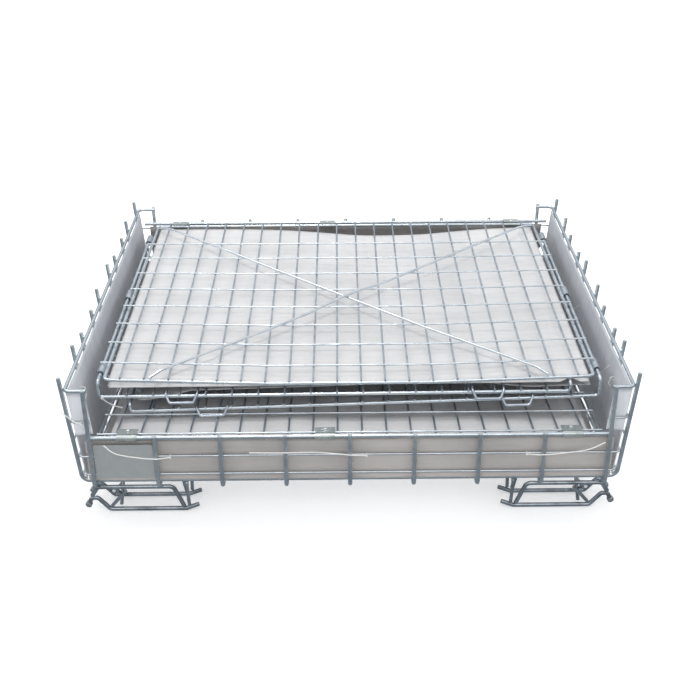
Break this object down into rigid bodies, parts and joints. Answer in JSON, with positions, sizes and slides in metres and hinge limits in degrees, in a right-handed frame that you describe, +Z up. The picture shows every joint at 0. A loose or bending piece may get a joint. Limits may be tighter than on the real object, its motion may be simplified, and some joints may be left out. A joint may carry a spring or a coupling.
{
  "type": "wire mesh container",
  "caption": "Folding stackable wire mesh container with plastic liner sheets, folded flat: low walled base on looped wire feet with hinged back, side panels and gate.",
  "frame": {"origin": "centre of the footprint on the ground, under the runners of the feet", "axes": "+X along the long side to the right seen from the gate, +Y from the gate to the back wall, +Z up"},
  "size_m": [1.2446, 1.1, 0.3574],
  "materials": {
    "zinc_heavy_wire": "bright zinc plated drawn wire, welded",
    "zinc_mesh_wire": "bright zinc plated thin wire, welded",
    "zinc_foot_wire": "zinc plated thick wire, scuffed underneath",
    "zinc_plate": "dull zinc plated sheet, blank",
    "zinc_clip": "zinc plated bent sheet",
    "zinc_tube": "zinc plated tube, dark inside",
    "cap_steel": "dull zinc plated cap",
    "liner_sheet": "thin translucent white polypropylene sheet"
  },
  "bodies": {
    "base": {"back_hinge_rail": "zinc_heavy_wire", "back_wall_sheet": "liner_sheet", "back_wall_wires": "zinc_mesh_wire", "base_belt_wires": "zinc_mesh_wire", "base_floor_wires": "zinc_mesh_wire", "base_wires_across": "zinc_heavy_wire", "base_wires_deep": "zinc_heavy_wire", "end_rail_left": "zinc_heavy_wire", "end_rail_right": "zinc_heavy_wire", "end_wall_sheet_left": "liner_sheet", "end_wall_sheet_right": "liner_sheet", "end_wall_wires_left": "zinc_mesh_wire", "end_wall_wires_right": "zinc_mesh_wire", "floor_sheet": "liner_sheet", "foot_caps": "cap_steel", "foot_frames": "zinc_foot_wire", "foot_runners": "zinc_foot_wire", "foot_struts": "zinc_foot_wire", "foot_yokes": "zinc_foot_wire", "front_hinge_rail": "zinc_heavy_wire", "front_wall_sheet": "liner_sheet", "label_plate": "zinc_plate"},
    "back_panel": {"back_clip_rivets": "zinc_clip", "back_hinge_clips": "zinc_clip", "back_panel_braces": "zinc_heavy_wire", "back_panel_cross_wires": "zinc_mesh_wire", "back_panel_deep_wires": "zinc_mesh_wire", "back_panel_frame": "zinc_heavy_wire", "back_panel_sheet": "liner_sheet", "back_panel_sleeves": "zinc_tube"},
    "left_panel": {"left_panel_frame": "zinc_heavy_wire", "left_panel_long_wires": "zinc_mesh_wire", "left_panel_loops": "zinc_heavy_wire", "left_panel_sheet": "liner_sheet", "left_panel_short_wires": "zinc_mesh_wire"},
    "right_panel": {"right_panel_frame": "zinc_heavy_wire", "right_panel_long_wires": "zinc_mesh_wire", "right_panel_loops": "zinc_heavy_wire", "right_panel_sheet": "liner_sheet", "right_panel_short_wires": "zinc_mesh_wire"},
    "gate": {"gate_clip_rivets": "zinc_clip", "gate_cross_wires": "zinc_mesh_wire", "gate_deep_wires": "zinc_mesh_wire", "gate_hinge_clips": "zinc_clip", "gate_sheet": "liner_sheet", "gate_side_wires": "zinc_mesh_wire", "gate_top_rail": "zinc_heavy_wire"}
  },
  "joints": [
    {"name": "back_panel_hinge", "type": "hinge", "parent": "base", "child": "back_panel", "pos_m": [0, 0.53595, 0.286], "axis": [-1, 0, 0], "range_deg": [0, 90]},
    {"name": "left_panel_hinge", "type": "hinge", "parent": "back_panel", "child": "left_panel", "pos_m": [-0.56155, 0, 0.286], "axis": [0, 1, 0], "range_deg": [0, 90.3]},
    {"name": "right_panel_hinge", "type": "hinge", "parent": "back_panel", "child": "right_panel", "pos_m": [0.56155, 0, 0.286], "axis": [0, -1, 0], "range_deg": [0, 88.3]},
    {"name": "gate_hinge", "type": "hinge", "parent": "base", "child": "gate", "pos_m": [0, -0.53595, 0.2125], "axis": [1, 0, 0], "range_deg": [0, 95.7]}
  ],
  "couplings": [
    {"joint": "left_panel_hinge", "follows": "back_panel_hinge", "ratio": 0.008},
    {"joint": "right_panel_hinge", "follows": "back_panel_hinge", "ratio": 0.15},
    {"joint": "gate_hinge", "follows": "back_panel_hinge", "ratio": 0.1}
  ]
}
